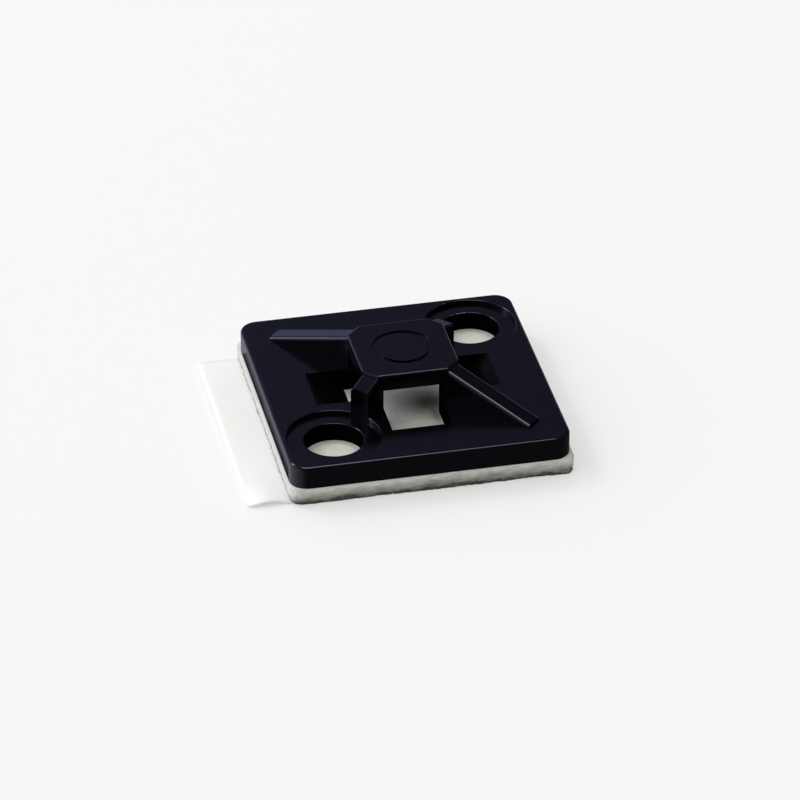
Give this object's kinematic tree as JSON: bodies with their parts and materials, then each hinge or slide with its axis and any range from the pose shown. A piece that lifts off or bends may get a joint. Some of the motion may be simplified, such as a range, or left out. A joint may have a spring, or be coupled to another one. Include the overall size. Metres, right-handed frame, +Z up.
{
  "type": "cable tie mount",
  "caption": "Square adhesive-backed cable tie mount with a raised four-way saddle over crossed tie channels, sloping ribs, screw holes, a foam pad and a release liner.",
  "frame": {"origin": "middle of the square pad, on the underside of the release liner, where the mount rests", "axes": "+Z up, away from the surface the mount is stuck to; X and Y along the two tie channels, with the liner's pull tab towards -X"},
  "size_m": [0.0324, 0.028, 0.0079],
  "materials": {
    "black_nylon": "moulded black nylon with a soft gloss",
    "white_foam": "die-cut white foam tape with open cells at its cut edge",
    "liner_film": "thin satin white coated release paper"
  },
  "bodies": {
    "root": {"mount_body": "black_nylon", "foam_pad": "white_foam", "release_liner": "liner_film"}
  },
  "joints": []
}
